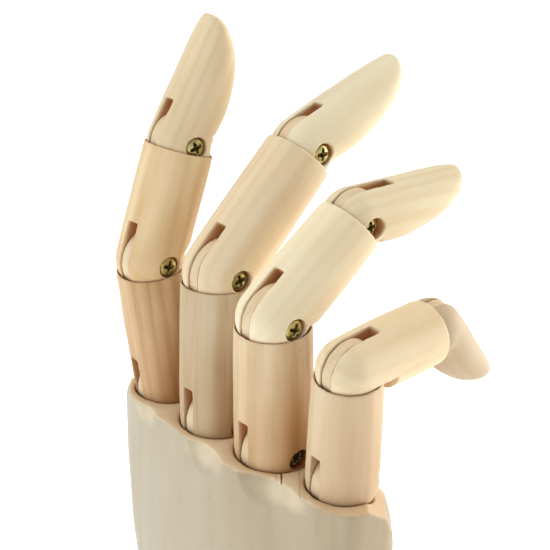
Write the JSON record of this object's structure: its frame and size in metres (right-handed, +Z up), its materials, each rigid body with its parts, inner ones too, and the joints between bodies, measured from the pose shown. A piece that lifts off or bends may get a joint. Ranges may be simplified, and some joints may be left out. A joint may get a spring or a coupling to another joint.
{
  "type": "artist mannequin hand",
  "caption": "Jointed wooden right hand for posing: turned finger links on screwed tongue hinges, a carved palm, a sprung wrist and a turned stand.",
  "frame": {"origin": "centre of the stand's underside, on the surface it stands on", "axes": "+Z up along the stand, +Y out of the palm, +X towards the little finger"},
  "size_m": [0.1149, 0.1339, 0.2863],
  "materials": {
    "link_wood": "sanded, unvarnished",
    "palm_wood": "sanded, unvarnished",
    "tongue_wood": "sanded, unvarnished",
    "stand_wood": "turned and sanded",
    "brass": "dull, slightly tarnished",
    "steel": "plain",
    "felt": "pressed felt"
  },
  "bodies": {
    "forearm": {"forearm": "stand_wood", "foot_disc": "stand_wood", "foot_screws": "steel", "foot_felt": "felt"},
    "wrist_link": {"wrist_eye_rod": "steel", "wrist_spring": "steel", "wrist_washer": "steel", "wrist_nut": "steel"},
    "palm": {"palm": "palm_wood", "wrist_pin": "steel", "index_knuckle_tongue": "tongue_wood", "middle_knuckle_tongue": "tongue_wood", "ring_knuckle_tongue": "tongue_wood", "little_knuckle_tongue": "tongue_wood", "thumb_knuckle_tongue": "tongue_wood"},
    "index_proximal": {"index_proximal": "link_wood", "index_knuckle_screw": "brass", "index_middle_tongue": "tongue_wood"},
    "index_middle": {"index_middle": "link_wood", "index_middle_screw": "brass", "index_tip_tongue": "tongue_wood"},
    "index_distal": {"index_distal": "link_wood", "index_tip_screw": "brass"},
    "middle_proximal": {"middle_proximal": "link_wood", "middle_knuckle_screw": "brass", "middle_middle_tongue": "tongue_wood"},
    "middle_middle": {"middle_middle": "link_wood", "middle_middle_screw": "brass", "middle_tip_tongue": "tongue_wood"},
    "middle_distal": {"middle_distal": "link_wood", "middle_tip_screw": "brass"},
    "ring_proximal": {"ring_proximal": "link_wood", "ring_knuckle_screw": "brass", "ring_middle_tongue": "tongue_wood"},
    "ring_middle": {"ring_middle": "link_wood", "ring_middle_screw": "brass", "ring_tip_tongue": "tongue_wood"},
    "ring_distal": {"ring_distal": "link_wood", "ring_tip_screw": "brass"},
    "little_proximal": {"little_proximal": "link_wood", "little_knuckle_screw": "brass", "little_middle_tongue": "tongue_wood"},
    "little_middle": {"little_middle": "link_wood", "little_middle_screw": "brass", "little_tip_tongue": "tongue_wood"},
    "little_distal": {"little_distal": "link_wood", "little_tip_screw": "brass"},
    "thumb_metacarpal": {"thumb_metacarpal": "link_wood", "thumb_knuckle_screw": "brass", "thumb_middle_tongue": "tongue_wood"},
    "thumb_proximal": {"thumb_proximal": "link_wood", "thumb_middle_screw": "brass", "thumb_tip_tongue": "tongue_wood"},
    "thumb_distal": {"thumb_distal": "link_wood", "thumb_tip_screw": "brass"}
  },
  "joints": [
    {"name": "wrist_turn", "type": "hinge", "parent": "forearm", "child": "wrist_link", "pos_m": [0, 0, 0.084], "axis": [0, 0, 1], "continuous": true},
    {"name": "wrist_tilt", "type": "hinge", "parent": "wrist_link", "child": "palm", "pos_m": [0, 0, 0.084], "axis": [-1, 0, 0], "range_deg": [-28, 28]},
    {"name": "index_knuckle_joint", "type": "hinge", "parent": "palm", "child": "index_proximal", "pos_m": [-0.0328, -0.0007, 0.186], "axis": [-0.9998, 0.0209, -0.0035], "range_deg": [-4.6, 44.4]},
    {"name": "index_middle_joint", "type": "hinge", "parent": "index_proximal", "child": "index_middle", "pos_m": [-0.03304, -0.00564, 0.22408], "axis": [-0.9998, 0.0209, -0.0035], "range_deg": [-34.8, 30.2]},
    {"name": "index_tip_joint", "type": "hinge", "parent": "index_middle", "child": "index_distal", "pos_m": [-0.03292, 0.00488, 0.25398], "axis": [-0.9941, 0.1031, -0.0324], "range_deg": [-19.4, 42.6]},
    {"name": "middle_knuckle_joint", "type": "hinge", "parent": "palm", "child": "middle_proximal", "pos_m": [-0.0105, -0.0017, 0.1852], "axis": [-0.9997, 0.0052, -0.0244], "range_deg": [-14.8, 27.2]},
    {"name": "middle_middle_joint", "type": "hinge", "parent": "middle_proximal", "child": "middle_middle", "pos_m": [-0.01147, 0.00027, 0.22544], "axis": [-0.9997, 0.0052, -0.0244], "range_deg": [-52, 14]},
    {"name": "middle_tip_joint", "type": "hinge", "parent": "middle_middle", "child": "middle_distal", "pos_m": [-0.01198, 0.02892, 0.25234], "axis": [-0.9997, 0.0052, -0.0244], "range_deg": [-32.2, 29.8]},
    {"name": "ring_knuckle_joint", "type": "hinge", "parent": "palm", "child": "ring_proximal", "pos_m": [0.0105, 0, 0.185], "axis": [-0.9987, 0.007, 0.0506], "range_deg": [-8.9, 45.1]},
    {"name": "ring_middle_joint", "type": "hinge", "parent": "ring_proximal", "child": "ring_middle", "pos_m": [0.01235, -0.00199, 0.2217], "axis": [-0.9987, 0.007, 0.0506], "range_deg": [-63.1, 1]},
    {"name": "ring_tip_joint", "type": "hinge", "parent": "ring_middle", "child": "ring_distal", "pos_m": [0.01352, 0.0233, 0.24143], "axis": [-0.9987, 0.007, 0.0506], "range_deg": [-48.2, 13.3]},
    {"name": "little_knuckle_joint", "type": "hinge", "parent": "palm", "child": "little_proximal", "pos_m": [0.0322, 0.0037, 0.1836], "axis": [-0.9955, -0.0332, 0.0888], "range_deg": [-9.6, 50.4]},
    {"name": "little_middle_joint", "type": "hinge", "parent": "little_proximal", "child": "little_middle", "pos_m": [0.03503, 0.00239, 0.21484], "axis": [-0.9955, -0.0332, 0.0888], "range_deg": [-97.7, 0.9]},
    {"name": "little_tip_joint", "type": "hinge", "parent": "little_middle", "child": "little_distal", "pos_m": [0.03421, 0.03094, 0.21627], "axis": [-0.9955, -0.0332, 0.0888], "range_deg": [-61.7, 3.3]},
    {"name": "thumb_knuckle_joint", "type": "hinge", "parent": "palm", "child": "thumb_metacarpal", "pos_m": [-0.034, 0.012, 0.106], "axis": [0.0777, -0.39, 0.9175], "range_deg": [-49, 10]},
    {"name": "thumb_middle_joint", "type": "hinge", "parent": "thumb_metacarpal", "child": "thumb_proximal", "pos_m": [-0.05573, 0.03654, 0.11827], "axis": [0.0777, -0.39, 0.9175], "range_deg": [-27, 36]},
    {"name": "thumb_tip_joint", "type": "hinge", "parent": "thumb_proximal", "child": "thumb_distal", "pos_m": [-0.0612, 0.06352, 0.1302], "axis": [0.0777, -0.39, 0.9175], "range_deg": [-30, 32]}
  ]
}
